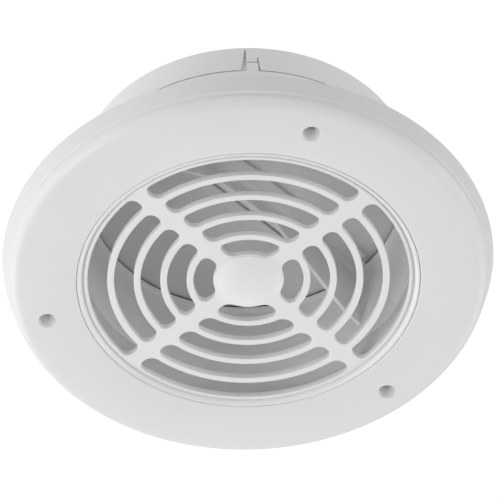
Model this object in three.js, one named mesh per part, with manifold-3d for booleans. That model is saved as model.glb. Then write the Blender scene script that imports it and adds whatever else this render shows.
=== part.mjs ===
// Ceiling unit of a bathroom extractor: a round face flange with a recessed ring grille, a duct collar
// behind it, and a two-leaf backdraft shutter inside the collar.
// Millimetres. +Z points up into the duct. The origin is the centre of the ceiling plane, where the
// flange's back edge rests. Azimuths are degrees from -Y towards +X.
import * as THREE from "three";
import { mergeVertices } from "three/addons/utils/BufferGeometryUtils.js";
import Module from "manifold-3d";

const wasm = await Module();
wasm.setup();

// ---- driving dimensions ----

const RING_STEPS = 60; // facets round a large ring
const CURVE_STEPS = 3; // facets in a rounded stretch of a profile
const GAP = 0.3; // kept between pieces that touch

// face flange
const FLANGE_R = 105.5;
const RIM_WALL = 2.4;
const RIM_BACK_R = 99.7; // inside of the rim, level with the groove
const TREAD_R = 103.9; // the rim slopes in to here, and a groove follows
const TREAD_Z = -7.1;
const CREASE_R = 102.8;
const CREASE_Z = -7.9;
const SHOULDER_LOW_R = 102.75;
const SHOULDER_LOW_Z = -8.9;
const SHOULDER_CREST_R = 101.6;
const SHOULDER_CREST_Z = -11.2;
const FACE_EDGE_R = 97.5;
const FACE_EDGE_Z = -13.2;
const FACE_CROWN_R = 86;
const FACE_CROWN_Z = -14.9;
const FACE_BACK_Z = -11.5;
const SEAT_WALL = 2.3; // wall round the grille's seat
const OPENING_R = 73.6;
const OPENING_Z = -13.2;
const LEDGE_Z = -8.3;
const NECK_IN_R = 71.0;
const NECK_OUT_R = 72.4;
const NECK_TOP_Z = 3.0;

// fixing holes in the face
const HOLE_COUNT = 3;
const FIRST_HOLE_AZ = 15;
const HOLE_CIRCLE_R = 88.7;
const HOLE_R = 2.2;
const SINK_R = 4.1;
const SINK_DEPTH = 5.5;
const HOLE_FACE_Z = -14.1;
const PILLAR_R = 4.4;

// grille
const GRILLE_FRONT_Z = -11.8;
const GRILLE_THICK = 3.1;
const RIM_OUT_R = OPENING_R - GAP;
const RIM_CREST_Z = -13.1;
const VALLEY_R = 70.6; // the low line between the slots and the crest
const VALLEY_Z = -11.15;
const HUB_R = 15.1;
const HUB_RISE = 3.8;
const HUB_POWER = 2.6; // how full the dome is
const SLOT_PITCH = 11.32;
const BAR_WIDTH = 2.85;
const SLOT_RINGS = 5;
const SLOT_EDGE_R = 68.9;
const SPOKE_WIDTH = 6.4;
const SLOT_CORNER_R = 3.6;
const SPOKE_COUNT = 4;
const NIB_COUNT = 4; // nibs on the grille's edge snap into pockets in the flange
const NIB_HALF_ANGLE = 4;
const NIB_DEPTH = 0.6;
const NIB_LOW_Z = -10.9;
const NIB_TOP_Z = -9.9;

// duct collar: spigot below the seam, duct sleeve above it
const COLLAR_R = 74.0;
const COLLAR_IN_R = 70.8;
const SEAM_Z = 40.6;
const COLLAR_TOP_Z = 56.7;
const COLLAR_TOP_R = 72.7;
const SLEEVE_IN_R = 72.0;
const SLEEVE_TOP_IN_R = 71.1;
const SHOULDER_R = 71.7;
const SEAT_IN_R = 68.4;
const SEAT_LOW_Z = 43.0;
const SEAT_TOP_Z = 45.4;
const FOOT_R = 83.4;
const FOOT_LOW_Z = -4.7;
const FOOT_TOP_Z = -2.7;

// catches that hold the sleeve on the spigot
const CATCH_COUNT = 4;
const TONGUE_WIDTH = 5.6;
const TONGUE_TOP_Z = 45.8;
const SLIT_LOW_WIDTH = 0.9;
const LEFT_SLIT_LOW_WIDTH = 1.7;
const SLIT_TOP_WIDTH = 0.45;
const STEP_GAP = 0.5; // between the tongue and the finger above it
const LEFT_SLIT_TOP_Z = 52.9;
const RIGHT_SLIT_TOP_Z = 48.2;
const STOP_IN_R = 70.1; // upright stop that backs each catch
const STOP_OUT_R = 71.0;
const STOP_HALF_WIDTH = 5.2;
const STOP_TOP_Z = 54.2;

// screws that hold the spigot on the flange
const SCREW_COUNT = 4;
const FIRST_SCREW_AZ = 60;
const SCREW_CIRCLE_R = 78.8;
const SCREW_R = 1.4;
const SCREW_HOLE_R = 1.7;
const SCREW_LENGTH = 6.6;
const SCREW_HEAD_R = 2.8;
const SCREW_HEAD_HEIGHT = 1.5;
const SCREW_BOSS_R = 3.7;

// crossbar, its rib and gussets; the bar runs at this azimuth
const BAR_AZ = 134;
const CROSSBAR_WIDTH = 10.8;
const BAR_LOW_Z = 44.2;
const RIB_THICK = 1.8;
const RIB_LOW_Z = 38.8;
const RIB_HALF = 18.5;
const GUSSET_BEND = [61.5, 16.0]; // distance along the bar, height
const GUSSET_FOOT_Z = 14.2;

// shutter
const LEAF_R = 69.6;
const LEAF_LOW_Z = 46.4;
const LEAF_THICK = 1.4;
const LEAF_INNER_Y = 3.7;
const KNUCKLE_R = 2.9;
const KNUCKLE_BORE_R = 1.5;
const ROD_R = 1.2;
const ROD_Z = LEAF_LOW_Z + KNUCKLE_R;
const ROD_HALF = 70.4;
const RELIEF_Y = 7; // the leaf is cut back to here beside the cradles
const STRIP_IN_Y = 5.9;
const STRIP_OUT_Y = 12.2;
const STRIP_IN_Z = 43.0; // the strip is deeper at its inner edge
const STRIP_OUT_Z = 44.6;
const STRIP_HALF = 64;
const SEAL_IN_R = 68.6;
const SEAL_OUT_R = 69.5;
const SEAL_LOW_Z = 45.6;
const SEAL_TOP_Z = 46.15;
const LEFT_KNUCKLES = [
  [-64, -54],
  [-6, -0.5],
  [43, 53],
];

// bearings at the ends of the rod
const CRADLE_IN_X = 66.4;
const CRADLE_OUT_X = 70.9;
const CRADLE_HALF_Y = 4;
const CRADLE_TOP_Z = 52.5;
const BUSH_SEAT_R = 2.7;
const BUSH_R = 2.42;
const BUSH_COLLAR_R = 3.3;
const BUSH_COLLAR = 0.6;
const CLIP_R = 2.8;
const CLIP_THICK = 0.5;
const CLIP_MOUTH = 2;
const BUSH_CLEAR = 0.2; // between the bush and the cradle's inner face

// closing springs
const SPRING_X = 28;
const COIL_R = 2.35;
const COIL_TURNS = 3;
const COIL_PITCH = 1.1;
const WIRE_R = 0.4;
const SPRING_LEG_Y = 13;
const LEG_BEND = 0.7; // share of the leg's length where it starts to rise
const LEG_RISE = 0.35;

// foam ring behind the flange
const FOAM_IN_R = 95;
const FOAM_TOP_Z = -0.2;

// ---- solids ----

const radians = THREE.MathUtils.degToRad;

// A closed geometry as a manifold solid.
function solid(geometry) {
  const bare = geometry.index ? geometry.toNonIndexed() : geometry.clone();
  bare.deleteAttribute("normal");
  bare.deleteAttribute("uv");
  const merged = mergeVertices(bare, 1e-4);
  const vertProperties = new Float32Array(merged.attributes.position.array);
  const triVerts = new Uint32Array(merged.index.array);
  return new wasm.Manifold(new wasm.Mesh({ numProp: 3, vertProperties, triVerts }));
}

// A manifold solid as a geometry.
function geometryOf(body) {
  const mesh = body.getMesh();
  const geometry = new THREE.BufferGeometry();
  geometry.setAttribute("position", new THREE.BufferAttribute(mesh.vertProperties, 3));
  geometry.setIndex(new THREE.BufferAttribute(mesh.triVerts, 1));
  const flat = geometry.toNonIndexed();
  flat.computeVertexNormals();
  return flat;
}

const join = (bodies) => bodies.reduce((all, body) => all.add(body));
const cut = (body, tools) => tools.reduce((left, tool) => left.subtract(tool), body);

// Points of a profile given as [radius, height] pairs.
const profile = (pairs) => pairs.map(([r, z]) => new THREE.Vector2(r, z));

// A profile turned about Z. One that doesn't touch the axis closes on itself.
function revolve(points, steps = RING_STEPS) {
  const outline = points.map((p) => p.clone());
  if (THREE.ShapeUtils.isClockWise(outline)) outline.reverse();
  const closed = outline.every((p) => p.x > 0);
  if (closed) outline.push(outline[0].clone());
  return solid(new THREE.LatheGeometry(outline, steps).rotateX(Math.PI / 2));
}

// A flat outline raised from one height to another.
function raise(shape, low, high, curveSegments = CURVE_STEPS) {
  const geometry = new THREE.ExtrudeGeometry(shape, {
    depth: high - low,
    bevelEnabled: false,
    curveSegments,
  });
  return solid(geometry.translate(0, 0, low));
}

// A box between two corners.
function box(low, high) {
  const size = high.map((value, i) => value - low[i]);
  const middle = high.map((value, i) => (value + low[i]) / 2);
  return solid(new THREE.BoxGeometry(...size).translate(...middle));
}

// A cylinder or cone that stands on Z.
function post(lowR, highR, low, high, steps = 16) {
  const geometry = new THREE.CylinderGeometry(highR, lowR, high - low, steps);
  return solid(geometry.rotateX(Math.PI / 2).translate(0, 0, (low + high) / 2));
}

// A cylinder along X at the height of the rod.
function barrel(radius, from, to, steps = 16) {
  const geometry = new THREE.CylinderGeometry(radius, radius, to - from, steps);
  return solid(geometry.rotateZ(-Math.PI / 2).translate((from + to) / 2, 0, ROD_Z));
}

// A stretch of ring that is centred on azimuth 0.
function sector(rIn, rOut, halfAngle, low, high, steps = 2) {
  const shape = new THREE.Shape();
  const middle = -Math.PI / 2;
  shape.absarc(0, 0, rOut, middle - halfAngle, middle + halfAngle, false);
  shape.absarc(0, 0, rIn, middle + halfAngle, middle - halfAngle, true);
  return raise(shape, low, high, steps);
}

const turned = (body, azimuth) => body.rotate([0, 0, azimuth]);

// A body moved out from the axis to a radius and turned to an azimuth.
const outAt = (body, radius, azimuth) => turned(body.translate([0, -radius, 0]), azimuth);

// Evenly spaced azimuths.
function azimuths(count, first) {
  return Array.from({ length: count }, (_, i) => first + (360 / count) * i);
}

const holeAzimuths = azimuths(HOLE_COUNT, FIRST_HOLE_AZ);
const screwAzimuths = azimuths(SCREW_COUNT, FIRST_SCREW_AZ);
const catchAzimuths = azimuths(CATCH_COUNT, 0);
const nibAzimuths = azimuths(NIB_COUNT, 0);

// A nib on the grille's edge, or the pocket that it snaps into, which is larger by a clearance.
function nib(clearance) {
  const out = RIM_OUT_R + NIB_DEPTH + clearance;
  const half = radians(NIB_HALF_ANGLE) + clearance / RIM_OUT_R;
  return sector(RIM_OUT_R - 1, out, half, NIB_LOW_Z - clearance, NIB_TOP_Z + clearance);
}

// ---- face flange ----

// Section of the flange: sloping rim, rounded shoulder, crowned face, grille seat and collar neck.
function flangeSection() {
  const p = new THREE.Shape();
  p.moveTo(FLANGE_R, 0);
  p.lineTo(TREAD_R, TREAD_Z);
  p.lineTo(CREASE_R, CREASE_Z);
  p.lineTo(SHOULDER_LOW_R, SHOULDER_LOW_Z);
  p.quadraticCurveTo(
    SHOULDER_LOW_R,
    SHOULDER_LOW_Z - 1.1,
    SHOULDER_CREST_R,
    SHOULDER_CREST_Z,
  );
  p.quadraticCurveTo(
    SHOULDER_CREST_R - 1.6,
    FACE_EDGE_Z + 0.3,
    FACE_EDGE_R,
    FACE_EDGE_Z,
  );
  p.quadraticCurveTo(FACE_CROWN_R, FACE_CROWN_Z, OPENING_R, OPENING_Z);
  p.lineTo(OPENING_R, LEDGE_Z);
  p.lineTo(NECK_IN_R, LEDGE_Z);
  p.lineTo(NECK_IN_R, NECK_TOP_Z);
  p.lineTo(NECK_OUT_R, NECK_TOP_Z);
  p.lineTo(NECK_OUT_R, LEDGE_Z + SEAT_WALL);
  p.lineTo(OPENING_R + SEAT_WALL, LEDGE_Z + SEAT_WALL);
  p.lineTo(OPENING_R + SEAT_WALL, FACE_BACK_Z);
  p.lineTo(FACE_EDGE_R - 1.5, FACE_BACK_Z + 0.3);
  p.lineTo(RIM_BACK_R, CREASE_Z);
  p.lineTo(FLANGE_R - RIM_WALL, 0);
  return p.getPoints(CURVE_STEPS);
}

function faceFlange() {
  const pillar = post(PILLAR_R, PILLAR_R, FACE_BACK_Z - 1, -GAP);
  const boss = post(SCREW_BOSS_R, SCREW_BOSS_R, FACE_BACK_Z - 1, FOOT_LOW_Z - GAP, 12);
  const bore = post(HOLE_R, HOLE_R, HOLE_FACE_Z - 2, 1);
  const flare = (SINK_R - HOLE_R) / SINK_DEPTH;
  const sink = post(SINK_R + flare, HOLE_R, HOLE_FACE_Z - 1, HOLE_FACE_Z + SINK_DEPTH);
  const pilot = post(SCREW_HOLE_R, SCREW_HOLE_R, FACE_BACK_Z + 0.5, 0, 12);
  const solids = [revolve(flangeSection())];
  holeAzimuths.forEach((az) => solids.push(outAt(pillar, HOLE_CIRCLE_R, az)));
  screwAzimuths.forEach((az) => solids.push(outAt(boss, SCREW_CIRCLE_R, az)));
  const tools = [];
  holeAzimuths.forEach((az) => {
    tools.push(outAt(bore, HOLE_CIRCLE_R, az));
    tools.push(outAt(sink, HOLE_CIRCLE_R, az));
  });
  screwAzimuths.forEach((az) => tools.push(outAt(pilot, SCREW_CIRCLE_R, az)));
  const pocket = nib(GAP);
  nibAzimuths.forEach((az) => tools.push(turned(pocket, az)));
  return cut(join(solids), tools);
}

// ---- grille ----

// One slot of the grille between two spokes, as points in plan, centred on azimuth 0.
function slotPoints(rIn, rOut) {
  const halfSpoke = SPOKE_WIDTH / 2;
  const reach = Math.PI / SPOKE_COUNT;
  const arcSteps = Math.max(4, Math.round(rOut / 6));
  const at = (r, az) => new THREE.Vector2(r * Math.sin(az), -r * Math.cos(az));
  const end = (r) => reach - Math.asin(halfSpoke / r);
  const arc = (r, from, to) =>
    Array.from({ length: arcSteps + 1 }, (_, i) => at(r, from + ((to - from) * i) / arcSteps));
  const corner = (r, side, outward) => {
    const sharp = at(r, side * end(r));
    const onArc = at(r, side * (end(r) - SLOT_CORNER_R / r));
    const inset = outward ? r - SLOT_CORNER_R : r + SLOT_CORNER_R;
    const onEnd = at(inset, side * end(inset));
    return new THREE.QuadraticBezierCurve(onArc, sharp, onEnd).getPoints(CURVE_STEPS);
  };
  const outer = end(rOut) - SLOT_CORNER_R / rOut;
  const inner = end(rIn) - SLOT_CORNER_R / rIn;
  return [
    ...arc(rOut, -outer, outer),
    ...corner(rOut, 1, true).slice(1),
    ...corner(rIn, 1, false).reverse(),
    ...arc(rIn, inner, -inner).slice(1),
    ...corner(rIn, -1, false).slice(1),
    ...corner(rOut, -1, true).reverse().slice(0, -1),
  ];
}

// The inner and outer radius of each ring of slots, from the hub outwards.
function slotRings() {
  const rings = [];
  for (let i = 0; i < SLOT_RINGS; i++) {
    const outer = SLOT_EDGE_R - SLOT_PITCH * (SLOT_RINGS - 1 - i);
    const inner = i === 0 ? HUB_R : outer - SLOT_PITCH + BAR_WIDTH;
    rings.push([inner, outer]);
  }
  return rings;
}

function grillePlate() {
  const shape = new THREE.Shape();
  shape.absarc(0, 0, SLOT_EDGE_R + 1, 0, 2 * Math.PI, false);
  for (const [rIn, rOut] of slotRings()) {
    for (const az of azimuths(SPOKE_COUNT, 0)) {
      const around = new THREE.Vector2(0, 0);
      const points = slotPoints(rIn, rOut).map((p) => p.rotateAround(around, radians(az)));
      shape.holes.push(new THREE.Path(points));
    }
  }
  return raise(shape, GRILLE_FRONT_Z, GRILLE_FRONT_Z + GRILLE_THICK, RING_STEPS / 4);
}

function grilleRim() {
  const back = LEDGE_Z - GAP;
  return revolve(
    profile([
      [SLOT_EDGE_R, GRILLE_FRONT_Z],
      [SLOT_EDGE_R + 1, GRILLE_FRONT_Z],
      [VALLEY_R, VALLEY_Z],
      [VALLEY_R + 1.1, GRILLE_FRONT_Z - 0.4],
      [RIM_OUT_R - 0.8, RIM_CREST_Z],
      [RIM_OUT_R, RIM_CREST_Z + 0.7],
      [RIM_OUT_R, back],
      [SLOT_EDGE_R, back],
    ]),
  );
}

function hubDome() {
  const points = [];
  const steps = 4;
  for (let i = 0; i <= steps; i++) {
    const share = i / steps;
    const height = HUB_RISE * (1 - share ** HUB_POWER);
    points.push([HUB_R * share, GRILLE_FRONT_Z - height]);
  }
  points.push([HUB_R, GRILLE_FRONT_Z + GRILLE_THICK], [0, GRILLE_FRONT_Z + GRILLE_THICK]);
  return revolve(profile(points), 24);
}

function grille() {
  const nibs = nibAzimuths.map((az) => turned(nib(0), az));
  return join([grillePlate(), grilleRim(), hubDome(), ...nibs]);
}

// ---- duct collar ----

// Section of the spigot: foot, wall, shoulder for the sleeve, and the seat that the shutter closes on.
function spigotSection() {
  const lap = NECK_OUT_R + GAP;
  return profile([
    [lap, FOOT_LOW_Z],
    [FOOT_R, FOOT_LOW_Z],
    [FOOT_R, FOOT_TOP_Z],
    [COLLAR_R, FOOT_TOP_Z],
    [COLLAR_R, SEAM_Z - GAP],
    [SHOULDER_R, SEAM_Z - GAP],
    [SHOULDER_R, SEAT_TOP_Z],
    [SEAT_IN_R, SEAT_TOP_Z],
    [SEAT_IN_R, SEAT_TOP_Z - 0.8],
    [COLLAR_IN_R - 0.9, SEAT_LOW_Z - 0.5],
    [COLLAR_IN_R, SEAM_Z - 3],
    [COLLAR_IN_R, NECK_TOP_Z + GAP],
    [lap, NECK_TOP_Z + GAP],
  ]);
}

// The upright plate under the crossbar: a shallow rib in the middle that deepens into two gussets.
function ribPlate() {
  const end = COLLAR_IN_R + 0.5;
  const right = [
    [RIB_HALF, RIB_LOW_Z],
    GUSSET_BEND,
    [end, GUSSET_FOOT_Z],
    [end, BAR_LOW_Z + 0.6],
  ];
  const left = right.map(([x, z]) => [-x, z]).reverse();
  const shape = new THREE.Shape(profile([...right, ...left]));
  const plate = new THREE.ExtrudeGeometry(shape, { depth: RIB_THICK, bevelEnabled: false });
  return solid(plate.rotateX(Math.PI / 2).translate(0, RIB_THICK / 2, 0));
}

// The crossbar with its rib and the two rod cradles, along X.
function crossbar() {
  const end = COLLAR_IN_R + 0.4;
  const half = CROSSBAR_WIDTH / 2;
  const bar = box([-end, -half, BAR_LOW_Z], [end, half, SEAT_TOP_Z]);
  const cradle = box(
    [CRADLE_IN_X, -CRADLE_HALF_Y, SEAT_TOP_Z - 0.5],
    [CRADLE_OUT_X, CRADLE_HALF_Y, CRADLE_TOP_Z],
  );
  return join([bar, ribPlate(), cradle, turned(cradle, 180)]);
}

function spigot() {
  const tongueHalf = TONGUE_WIDTH / 2 / COLLAR_R;
  const tongue = sector(SHOULDER_R - 0.3, COLLAR_R - 0.1, tongueHalf, SEAM_Z - 3, TONGUE_TOP_Z);
  const solids = [revolve(spigotSection()), turned(crossbar(), BAR_AZ - 90)];
  const stopHalf = STOP_HALF_WIDTH / STOP_OUT_R;
  const stop = sector(STOP_IN_R, STOP_OUT_R, stopHalf, SEAT_TOP_Z - 1, STOP_TOP_Z);
  catchAzimuths.forEach((az) => solids.push(turned(tongue, az), turned(stop, az)));
  const screwHole = post(SCREW_HOLE_R, SCREW_HOLE_R, FOOT_LOW_Z - 1, FOOT_TOP_Z + 1, 12);
  const tools = screwAzimuths.map((az) => outAt(screwHole, SCREW_CIRCLE_R, az));
  const bushSeat = barrel(BUSH_SEAT_R, CRADLE_IN_X - 1, CRADLE_OUT_X + 1);
  [0, 180].forEach((turn) => tools.push(turned(bushSeat, BAR_AZ - 90 + turn)));
  return cut(join(solids), tools);
}

// The sleeve's section tapers towards the duct.
function sleeveSection() {
  return profile([
    [SLEEVE_IN_R, SEAM_Z],
    [COLLAR_R, SEAM_Z],
    [COLLAR_TOP_R, COLLAR_TOP_Z],
    [SLEEVE_TOP_IN_R, COLLAR_TOP_Z],
  ]);
}

// A plate from an [x, z] outline that stands across -Y between two distances.
function upright(outline, near, far) {
  const shape = new THREE.Shape(profile(outline));
  const plate = new THREE.ExtrudeGeometry(shape, { depth: far - near, bevelEnabled: false });
  return solid(plate.rotateX(Math.PI / 2).translate(0, -near, 0));
}

// Two slits beside the tongue leave a short finger above it that springs over the tongue's end.
// They widen downwards.
function catchCuts() {
  const half = TONGUE_WIDTH / 2;
  const low = SEAM_Z - 1;
  const top = TONGUE_TOP_Z + STEP_GAP;
  const left = [
    [-half - LEFT_SLIT_LOW_WIDTH, low],
    [-half, low],
    [-half, LEFT_SLIT_TOP_Z],
    [-half - SLIT_TOP_WIDTH, LEFT_SLIT_TOP_Z],
  ];
  const right = [
    [half, low],
    [half + SLIT_LOW_WIDTH, low],
    [half + SLIT_TOP_WIDTH, RIGHT_SLIT_TOP_Z],
    [half, RIGHT_SLIT_TOP_Z],
  ];
  const middle = [
    [-half - 0.1, low],
    [half + 0.1, low],
    [half + 0.1, top],
    [-half - 0.1, top],
  ];
  return join([left, right, middle].map((o) => upright(o, SLEEVE_IN_R - 2, COLLAR_R + 1)));
}

function ductSleeve() {
  const cuts = catchCuts();
  return cut(
    revolve(sleeveSection()),
    catchAzimuths.map((az) => turned(cuts, az)),
  );
}

// ---- shutter, built with its hinge line along X and the leaf on the +Y side ----

function leafPlate() {
  const start = Math.asin(LEAF_INNER_Y / LEAF_R);
  const shape = new THREE.Shape();
  shape.absarc(0, 0, LEAF_R, start, Math.PI - start, false);
  const plate = raise(shape, LEAF_LOW_Z, LEAF_LOW_Z + LEAF_THICK, RING_STEPS / 4);
  const reliefs = [-1, 1].map((side) => {
    const xs = [side * (CRADLE_IN_X - 0.6), side * (LEAF_R + 2)].sort((a, b) => a - b);
    return box(
      [xs[0], LEAF_INNER_Y - 1, LEAF_LOW_Z - 1],
      [xs[1], RELIEF_Y, LEAF_LOW_Z + LEAF_THICK + 1],
    );
  });
  return cut(plate, reliefs);
}

// The strip that stiffens the leaf along its hinge line, as a wedge.
function hingeStrip() {
  const section = new THREE.Shape(
    profile([
      [STRIP_IN_Y, STRIP_IN_Z],
      [STRIP_OUT_Y, STRIP_OUT_Z],
      [STRIP_OUT_Y, LEAF_LOW_Z + 0.5],
      [STRIP_IN_Y, LEAF_LOW_Z + 0.5],
    ]),
  );
  const strip = new THREE.ExtrudeGeometry(section, { depth: 2 * STRIP_HALF, bevelEnabled: false });
  strip.translate(0, 0, -STRIP_HALF).rotateY(Math.PI / 2).rotateX(Math.PI / 2);
  return solid(strip);
}

function shutterLeaf() {
  const solids = [leafPlate(), hingeStrip()];
  for (const [from, to] of LEFT_KNUCKLES) {
    solids.push(barrel(KNUCKLE_R, from, to));
    solids.push(box([from, 0, LEAF_LOW_Z], [to, LEAF_INNER_Y + 1, LEAF_LOW_Z + LEAF_THICK]));
  }
  return cut(join(solids), [barrel(KNUCKLE_BORE_R, -LEAF_R, LEAF_R)]);
}

// A foam strip under the leaf's curved edge.
function leafSeal() {
  const reach = Math.PI / 2 - Math.asin((RELIEF_Y + 0.6) / SEAL_IN_R);
  const steps = RING_STEPS / 4;
  return turned(sector(SEAL_IN_R, SEAL_OUT_R, reach, SEAL_LOW_Z, SEAL_TOP_Z, steps), 180);
}

const hingeRod = () => barrel(ROD_R, -ROD_HALF, ROD_HALF, 12);

function rodBush() {
  const from = CRADLE_IN_X - BUSH_COLLAR - BUSH_CLEAR;
  const collar = barrel(BUSH_COLLAR_R, from, from + BUSH_COLLAR);
  const sleeve = barrel(BUSH_R, from, CRADLE_OUT_X - BUSH_CLEAR);
  return cut(join([collar, sleeve]), [barrel(KNUCKLE_BORE_R, from - 1, CRADLE_OUT_X + 1)]);
}

// An open ring that snaps on the rod between the end knuckle and the bush.
function rodClip() {
  const from = CRADLE_IN_X - BUSH_COLLAR - BUSH_CLEAR - GAP - CLIP_THICK;
  const ring = barrel(CLIP_R, from, from + CLIP_THICK);
  const mouth = box(
    [from - 1, -CLIP_MOUTH / 2, ROD_Z],
    [from + 2, CLIP_MOUTH / 2, ROD_Z + CLIP_R + 1],
  );
  return cut(ring, [barrel(KNUCKLE_BORE_R, from - 1, from + 2), mouth]);
}

// A torsion spring round the rod. Its two legs lie on the two leaves and press them shut.
function leafSpring() {
  const legZ = LEAF_LOW_Z + LEAF_THICK + WIRE_R + GAP;
  const half = (COIL_TURNS * COIL_PITCH) / 2;
  const perTurn = 8;
  const steps = COIL_TURNS * perTurn;
  const coil = Array.from({ length: steps + 1 }, (_, i) => {
    const angle = (2 * Math.PI * i) / perTurn;
    const x = SPRING_X - half + (COIL_PITCH * i) / perTurn;
    return new THREE.Vector3(x, -COIL_R * Math.sin(angle), ROD_Z + COIL_R * Math.cos(angle));
  });
  const leg = (x, side) => [
    new THREE.Vector3(x, side * SPRING_LEG_Y, legZ),
    new THREE.Vector3(x, side * SPRING_LEG_Y * LEG_BEND, legZ + LEG_RISE),
  ];
  const path = new THREE.CatmullRomCurve3(
    [...leg(SPRING_X - half, 1), ...coil, ...leg(SPRING_X + half, -1).reverse()],
    false,
    "centripetal",
  );
  const wire = new THREE.Shape();
  wire.absarc(0, 0, WIRE_R, 0, 2 * Math.PI, false);
  const geometry = new THREE.ExtrudeGeometry(wire, {
    steps: COIL_TURNS * perTurn * 2,
    extrudePath: path,
    curveSegments: 3,
    bevelEnabled: false,
  });
  return solid(geometry);
}

// ---- small parts ----

function spigotScrew() {
  const headLow = FOOT_TOP_Z + GAP;
  return revolve(
    profile([
      [0, headLow - SCREW_LENGTH],
      [SCREW_R * 0.6, headLow - SCREW_LENGTH],
      [SCREW_R, headLow - SCREW_LENGTH + 1],
      [SCREW_R, headLow],
      [SCREW_HEAD_R, headLow],
      [SCREW_HEAD_R, headLow + SCREW_HEAD_HEIGHT * 0.6],
      [SCREW_HEAD_R * 0.6, headLow + SCREW_HEAD_HEIGHT],
      [0, headLow + SCREW_HEAD_HEIGHT],
    ]),
    12,
  );
}

function ceilingSeal() {
  return revolve(
    profile([
      [FOAM_IN_R, FACE_BACK_Z + 0.6],
      [FACE_EDGE_R - 2, FACE_BACK_Z + 0.7],
      [RIM_BACK_R - 0.5, CREASE_Z + 0.2],
      [FLANGE_R - RIM_WALL - 0.6, FOAM_TOP_Z],
      [FOAM_IN_R, FOAM_TOP_Z],
    ]),
  );
}

// ---- assembly ----

const finishes = {
  white_plastic: { color: 0xe9e9ea, roughness: 0.42, metalness: 0 },
  leaf_plastic: { color: 0xdcdddf, roughness: 0.5, metalness: 0 },
  bush_plastic: { color: 0xd8d6cc, roughness: 0.45, metalness: 0 },
  foam: { color: 0xd0d0cf, roughness: 0.95, metalness: 0 },
  steel: { color: 0xb8babc, roughness: 0.3, metalness: 1 },
};

function piece(name, finish, body) {
  const mesh = new THREE.Mesh(geometryOf(body), new THREE.MeshStandardMaterial(finishes[finish]));
  mesh.name = name;
  return mesh;
}

const unit = new THREE.Group();
unit.add(piece("face_flange", "white_plastic", faceFlange()));
unit.add(piece("grille", "white_plastic", grille()));
unit.add(piece("spigot", "white_plastic", spigot()));
unit.add(piece("duct_sleeve", "white_plastic", ductSleeve()));
unit.add(piece("ceiling_seal", "foam", ceilingSeal()));

screwAzimuths.forEach((az, i) => {
  const screw = piece(`spigot_screw_${i + 1}`, "steel", spigotScrew());
  screw.position.set(SCREW_CIRCLE_R * Math.sin(radians(az)), -SCREW_CIRCLE_R * Math.cos(radians(az)), 0);
  unit.add(screw);
});

const shutter = new THREE.Group();
shutter.rotation.z = radians(BAR_AZ - 90);
shutter.add(piece("hinge_rod", "steel", hingeRod()));
unit.add(shutter);

// The left and right halves are the same pieces, half a turn apart.
[
  ["left", "far", 0],
  ["right", "near", Math.PI],
].forEach(([side, end, turn]) => {
  const half = new THREE.Group();
  half.rotation.z = turn;
  half.add(piece(`${side}_leaf`, "leaf_plastic", shutterLeaf()));
  half.add(piece(`${side}_leaf_seal`, "foam", leafSeal()));
  half.add(piece(`${end}_rod_bush`, "bush_plastic", rodBush()));
  half.add(piece(`${end}_rod_clip`, "steel", rodClip()));
  half.add(piece(`${end}_leaf_spring`, "steel", leafSpring()));
  shutter.add(half);
});

export default unit;
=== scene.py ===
import math
import bmesh
import bpy
from mathutils import Matrix, Vector
from mathutils.geometry import tessellate_polygon


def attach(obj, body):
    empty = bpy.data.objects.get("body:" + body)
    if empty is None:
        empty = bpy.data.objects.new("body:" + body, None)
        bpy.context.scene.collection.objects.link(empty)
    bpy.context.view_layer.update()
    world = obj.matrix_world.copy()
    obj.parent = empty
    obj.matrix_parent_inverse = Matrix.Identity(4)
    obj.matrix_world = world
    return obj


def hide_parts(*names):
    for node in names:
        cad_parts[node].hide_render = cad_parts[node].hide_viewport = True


# Ceiling unit of a bathroom extractor, in the frame of its CAD model. Shapes are built in
# millimetres and put into the scene in metres. Azimuths are degrees from -Y towards +X.
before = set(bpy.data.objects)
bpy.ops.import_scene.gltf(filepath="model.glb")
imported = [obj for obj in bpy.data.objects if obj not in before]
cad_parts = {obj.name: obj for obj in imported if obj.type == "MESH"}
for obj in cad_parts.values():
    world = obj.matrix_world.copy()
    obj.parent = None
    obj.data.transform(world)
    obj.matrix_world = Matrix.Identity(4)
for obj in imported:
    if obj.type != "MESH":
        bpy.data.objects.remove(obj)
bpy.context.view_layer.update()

MM = 0.001
RING = 288  # facets round a large ring

# ---------------------------------------------------------------- camera

AIM_HEIGHT = -0.0118  # the grille's front plane
AIM_UP = 0.01325  # the picture's centre above that point, in the picture
AIM_RIGHT = 0.0006
DISTANCE = 2.310
BELOW = math.radians(47.3)
FROM_AZIMUTH = math.radians(-3.5)
ROLL = math.radians(-1.8)
LENS_MM = 388.9
SENSOR_MM = 36.0


def make_camera():
    """A long lens that looks up at the face, with the near side of the collar above it."""
    target = Vector((0, 0, AIM_HEIGHT))
    outward = Vector((
        math.cos(BELOW) * math.sin(FROM_AZIMUTH),
        -math.cos(BELOW) * math.cos(FROM_AZIMUTH),
        -math.sin(BELOW),
    ))
    place = target + outward * DISTANCE
    level_right = (-outward).cross(Vector((0, 0, 1))).normalized()
    level_up = level_right.cross(-outward).normalized()
    right = level_right * math.cos(ROLL) + level_up * math.sin(ROLL)
    up = level_up * math.cos(ROLL) - level_right * math.sin(ROLL)
    centre = target + up * AIM_UP + right * AIM_RIGHT
    back = (place - centre).normalized()
    right = up.cross(back).normalized()
    up = back.cross(right)
    data = bpy.data.cameras.new("camera")
    data.lens = LENS_MM
    data.sensor_width = SENSOR_MM
    data.clip_start = 0.05
    data.clip_end = 200
    camera = bpy.data.objects.new("camera", data)
    turn = Matrix((right, up, back)).transposed().to_4x4()
    camera.matrix_world = Matrix.Translation(place) @ turn
    bpy.context.scene.collection.objects.link(camera)
    bpy.context.scene.camera = camera


make_camera()

# ---------------------------------------------------------------- shape tools

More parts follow.
